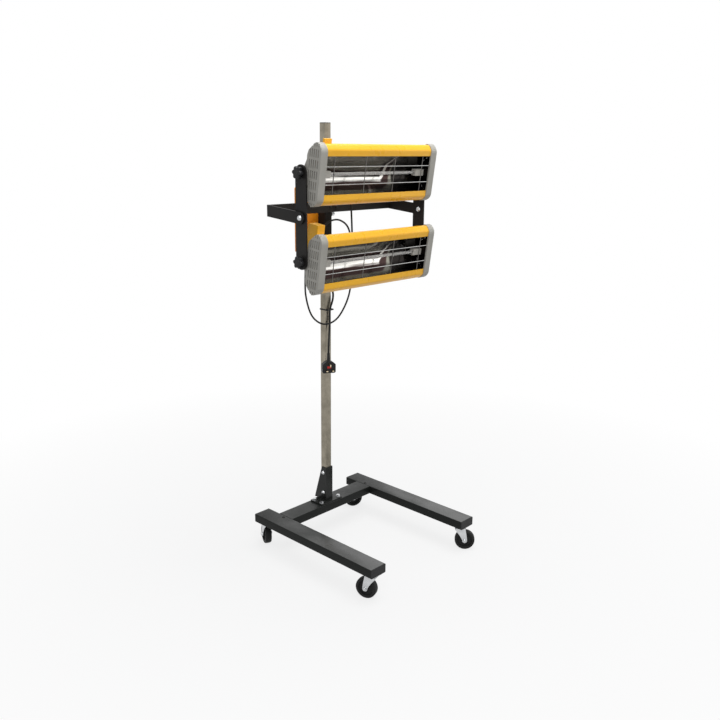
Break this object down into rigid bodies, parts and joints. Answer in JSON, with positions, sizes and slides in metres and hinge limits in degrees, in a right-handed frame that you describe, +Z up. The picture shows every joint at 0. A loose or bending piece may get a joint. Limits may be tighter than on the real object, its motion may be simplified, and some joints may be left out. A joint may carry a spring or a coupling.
{
  "type": "infrared curing lamp",
  "caption": "Wheeled infrared curing lamp: slotted-end heater cassettes in a tilting frame that slides on a square mast over a U-shaped castor base.",
  "frame": {"origin": "on the floor, under the middle of the stand's footprint", "axes": "+Z up the mast, heaters face -Y, +X along the cross-beam"},
  "size_m": [0.6256, 0.6432, 1.551],
  "materials": {
    "leg_left": "gloss",
    "leg_right": "gloss",
    "cross_beam": "gloss",
    "leg_end_caps": "matte",
    "beam_screws": "satin",
    "castor_plates": "satin",
    "castor_fork_fl": "satin",
    "castor_fork_fr": "satin",
    "castor_fork_bl": "satin",
    "castor_fork_br": "satin",
    "wheel_fl": "matte",
    "wheel_fr": "matte",
    "wheel_bl": "matte",
    "wheel_br": "matte",
    "mast_foot": "gloss",
    "foot_bolts": "satin",
    "mast": "brushed",
    "mast_cap": "matte",
    "sleeve": "gloss",
    "bracket": "satin",
    "bracket_bolts": "satin",
    "clamp_lever": "satin",
    "cable_tie": "matte",
    "control_box": "gloss",
    "box_cover": "gloss",
    "box_bolts": "satin",
    "cover_screws": "satin",
    "box_glands": "matte",
    "timer_knob": "matte",
    "rocker_upper": "matte",
    "rocker_lower": "matte",
    "upright_left": "satin",
    "upright_right": "satin",
    "frame_bolts": "satin",
    "upper_housing": "gloss",
    "upper_end_caps": "cast",
    "upper_reflector": "polished",
    "upper_lamp": "satin",
    "upper_lamp_holders": "ceramic",
    "upper_grille": "bright",
    "upper_terminal_box": "gloss",
    "upper_pivot_studs": "satin",
    "upper_knob_left": "matte",
    "upper_knob_right": "matte",
    "lower_housing": "gloss",
    "lower_end_caps": "cast",
    "lower_reflector": "polished",
    "lower_lamp": "satin",
    "lower_lamp_holders": "ceramic",
    "lower_grille": "bright",
    "lower_terminal_box": "gloss",
    "lower_pivot_studs": "satin",
    "lower_knob_left": "matte",
    "lower_knob_right": "matte",
    "upper_lead": "satin",
    "lower_lead": "satin",
    "mains_lead": "satin",
    "plug_body": "matte",
    "plug_pins": "satin",
    "fuse_cover": "gloss"
  },
  "bodies": {
    "stand": {"leg_left": "leg_left", "leg_right": "leg_right", "cross_beam": "cross_beam", "leg_end_caps": "leg_end_caps", "beam_screws": "beam_screws", "castor_plates": "castor_plates", "mast_foot": "mast_foot", "foot_bolts": "foot_bolts", "mast": "mast", "mast_cap": "mast_cap"},
    "castor_fl": {"castor_fork_fl": "castor_fork_fl"},
    "wheel_fl": {"wheel_fl": "wheel_fl"},
    "castor_fr": {"castor_fork_fr": "castor_fork_fr"},
    "wheel_fr": {"wheel_fr": "wheel_fr"},
    "castor_bl": {"castor_fork_bl": "castor_fork_bl"},
    "wheel_bl": {"wheel_bl": "wheel_bl"},
    "castor_br": {"castor_fork_br": "castor_fork_br"},
    "wheel_br": {"wheel_br": "wheel_br"},
    "carriage": {"sleeve": "sleeve", "bracket": "bracket", "bracket_bolts": "bracket_bolts", "frame_bolts": "frame_bolts", "cable_tie": "cable_tie", "control_box": "control_box", "box_cover": "box_cover", "box_bolts": "box_bolts", "cover_screws": "cover_screws", "box_glands": "box_glands", "upper_lead": "upper_lead", "lower_lead": "lower_lead", "mains_lead": "mains_lead", "plug_body": "plug_body", "plug_pins": "plug_pins", "fuse_cover": "fuse_cover"},
    "clamp": {"clamp_lever": "clamp_lever"},
    "timer": {"timer_knob": "timer_knob"},
    "switch_upper": {"rocker_upper": "rocker_upper"},
    "switch_lower": {"rocker_lower": "rocker_lower"},
    "head_frame": {"upright_left": "upright_left", "upright_right": "upright_right"},
    "upper_cassette": {"upper_housing": "upper_housing", "upper_end_caps": "upper_end_caps", "upper_reflector": "upper_reflector", "upper_lamp": "upper_lamp", "upper_lamp_holders": "upper_lamp_holders", "upper_grille": "upper_grille", "upper_terminal_box": "upper_terminal_box", "upper_pivot_studs": "upper_pivot_studs"},
    "lower_cassette": {"lower_housing": "lower_housing", "lower_end_caps": "lower_end_caps", "lower_reflector": "lower_reflector", "lower_lamp": "lower_lamp", "lower_lamp_holders": "lower_lamp_holders", "lower_grille": "lower_grille", "lower_terminal_box": "lower_terminal_box", "lower_pivot_studs": "lower_pivot_studs"},
    "knob_upper_left": {"upper_knob_left": "upper_knob_left"},
    "knob_upper_right": {"upper_knob_right": "upper_knob_right"},
    "knob_lower_left": {"lower_knob_left": "lower_knob_left"},
    "knob_lower_right": {"lower_knob_right": "lower_knob_right"}
  },
  "joints": [
    {"name": "swivel_fl", "type": "hinge", "parent": "stand", "child": "castor_fl", "pos_m": [-0.2455, -0.27, 0.088], "axis": [0, 0, 1], "continuous": true},
    {"name": "roll_fl", "type": "hinge", "parent": "castor_fl", "child": "wheel_fl", "pos_m": [-0.25106, -0.25288, 0.0375], "axis": [-0.9511, -0.309, 0], "continuous": true},
    {"name": "swivel_fr", "type": "hinge", "parent": "stand", "child": "castor_fr", "pos_m": [0.2455, -0.27, 0.088], "axis": [0, 0, 1], "continuous": true},
    {"name": "roll_fr", "type": "hinge", "parent": "castor_fr", "child": "wheel_fr", "pos_m": [0.25658, -0.28418, 0.0375], "axis": [0.788, 0.6157, 0], "continuous": true},
    {"name": "swivel_bl", "type": "hinge", "parent": "stand", "child": "castor_bl", "pos_m": [-0.2455, 0.27, 0.088], "axis": [0, 0, 1], "continuous": true},
    {"name": "roll_bl", "type": "hinge", "parent": "castor_bl", "child": "wheel_bl", "pos_m": [-0.23789, 0.28631, 0.0375], "axis": [-0.9063, 0.4226, 0], "continuous": true},
    {"name": "swivel_br", "type": "hinge", "parent": "stand", "child": "castor_br", "pos_m": [0.2455, 0.27, 0.088], "axis": [0, 0, 1], "continuous": true},
    {"name": "roll_br", "type": "hinge", "parent": "castor_br", "child": "wheel_br", "pos_m": [0.22991, 0.279, 0.0375], "axis": [-0.5, -0.866, 0], "continuous": true},
    {"name": "mast_slide", "type": "slide", "parent": "stand", "child": "carriage", "axis": [0, 0, 1], "range_m": [-0.35, 0.24]},
    {"name": "clamp_turn", "type": "hinge", "parent": "carriage", "child": "clamp", "pos_m": [0.0338, 0.203, 1.235], "axis": [1, 0, 0], "range_deg": [-60, 8]},
    {"name": "timer_turn", "type": "hinge", "parent": "carriage", "child": "timer", "pos_m": [-0.015, 0.2815, 1.275], "axis": [0, 1, 0], "range_deg": [0, 300]},
    {"name": "switch_upper_rock", "type": "hinge", "parent": "carriage", "child": "switch_upper", "pos_m": [-0.015, 0.284, 1.207], "axis": [1, 0, 0], "range_deg": [-13, 0]},
    {"name": "switch_lower_rock", "type": "hinge", "parent": "carriage", "child": "switch_lower", "pos_m": [-0.015, 0.284, 1.173], "axis": [1, 0, 0], "range_deg": [-13, 0]},
    {"name": "head_tilt", "type": "hinge", "parent": "carriage", "child": "head_frame", "pos_m": [0, 0.011, 1.25], "axis": [1, 0, 0], "range_deg": [-20, 20], "deforming": ["upper_lead", "lower_lead"]},
    {"name": "upper_tilt", "type": "hinge", "parent": "head_frame", "child": "upper_cassette", "pos_m": [0, 0.011, 1.39], "axis": [1, 0, 0], "range_deg": [-53, 37]},
    {"name": "upper_knob_left_turn", "type": "hinge", "parent": "upper_cassette", "child": "knob_upper_left", "pos_m": [-0.303, 0.011, 1.39], "axis": [1, 0, 0], "range_deg": [-90, 90]},
    {"name": "upper_knob_right_turn", "type": "hinge", "parent": "upper_cassette", "child": "knob_upper_right", "pos_m": [0.303, 0.011, 1.39], "axis": [1, 0, 0], "range_deg": [-90, 90]},
    {"name": "lower_tilt", "type": "hinge", "parent": "head_frame", "child": "lower_cassette", "pos_m": [0, 0.011, 1.11], "axis": [1, 0, 0], "range_deg": [-53, 37]},
    {"name": "lower_knob_left_turn", "type": "hinge", "parent": "lower_cassette", "child": "knob_lower_left", "pos_m": [-0.303, 0.011, 1.11], "axis": [1, 0, 0], "range_deg": [-90, 90]},
    {"name": "lower_knob_right_turn", "type": "hinge", "parent": "lower_cassette", "child": "knob_lower_right", "pos_m": [0.303, 0.011, 1.11], "axis": [1, 0, 0], "range_deg": [-90, 90]}
  ]
}
